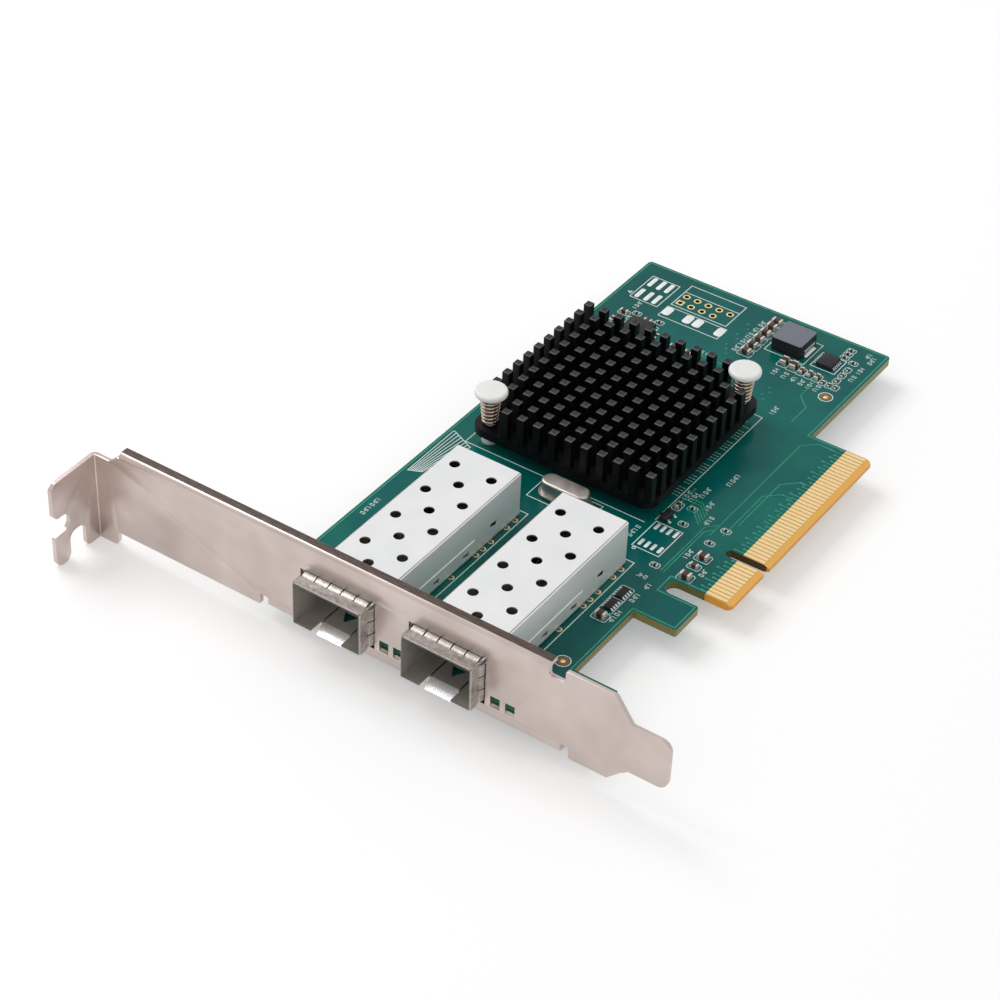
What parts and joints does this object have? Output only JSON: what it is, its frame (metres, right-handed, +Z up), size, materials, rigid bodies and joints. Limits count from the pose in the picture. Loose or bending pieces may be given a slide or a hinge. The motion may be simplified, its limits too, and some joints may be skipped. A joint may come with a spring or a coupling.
{
  "type": "network interface card",
  "caption": "Low network card on a full-height slot bracket, with metal port cages, a pin-fin cooler on sprung push pins and a gold edge connector.",
  "frame": {"origin": "centre of the bounding box at its lowest level, with the card lying component side up", "axes": "+X from the bracket into the card, +Y towards the bracket's screw tab, +Z up from the component side"},
  "size_m": [0.1408, 0.1208, 0.0215],
  "materials": {
    "board": "green solder mask over glass-fibre laminate",
    "contact_gold": "gold plating, satin",
    "bracket_nickel": "nickel-plated sheet steel, satin",
    "screw_steel": "plated steel",
    "cage_nickel": "bright nickel-plated sheet",
    "spring_steel": "bright spring sheet",
    "socket_plastic": "black moulded plastic",
    "heatsink_black": "black anodised aluminium",
    "thermal_grey": "soft grey pad",
    "chip_black": "black moulding compound",
    "pin_white": "white nylon",
    "wire_steel": "plated spring wire",
    "crystal_metal": "drawn metal can, satin",
    "insulator_dark": "dark insulating washer",
    "inductor_grey": "pressed grey composite",
    "solder_tin": "bright tin",
    "capacitor_brown": "fired brown ceramic",
    "resistor_black": "dark glaze",
    "lamp_clear": "pale translucent resin"
  },
  "bodies": {
    "root": {"bracket": "bracket_nickel", "bracket_screws": "screw_steel", "buck_regulator": "chip_black", "cage_pin_rings": "contact_gold", "chip_end_caps": "solder_tin", "chip_legs": "solder_tin", "chip_resistors": "resistor_black", "circuit_board": "board", "controller_chip": "chip_black", "crystal_can": "crystal_metal", "crystal_insulator": "insulator_dark", "crystal_leads": "solder_tin", "edge_contacts_bottom": "contact_gold", "edge_contacts_top": "contact_gold", "flash_chip": "chip_black", "header_rings": "contact_gold", "heatsink": "heatsink_black", "indicator_lamps": "lamp_clear", "inductor_clips": "solder_tin", "left_cage_floor": "cage_nickel", "left_cage_shell": "cage_nickel", "left_module_socket": "socket_plastic", "left_push_pin": "pin_white", "left_push_pin_spring": "wire_steel", "left_socket_contacts": "contact_gold", "left_spring_collar": "spring_steel", "linear_regulator": "chip_black", "medium_capacitors": "capacitor_brown", "power_inductor": "inductor_grey", "resistor_arrays": "chip_black", "right_cage_floor": "cage_nickel", "right_cage_shell": "cage_nickel", "right_module_socket": "socket_plastic", "right_push_pin": "pin_white", "right_push_pin_spring": "wire_steel", "right_socket_contacts": "contact_gold", "right_spring_collar": "spring_steel", "small_capacitors": "capacitor_brown", "solder_pads": "solder_tin", "thermal_pad": "thermal_grey"}
  },
  "joints": []
}
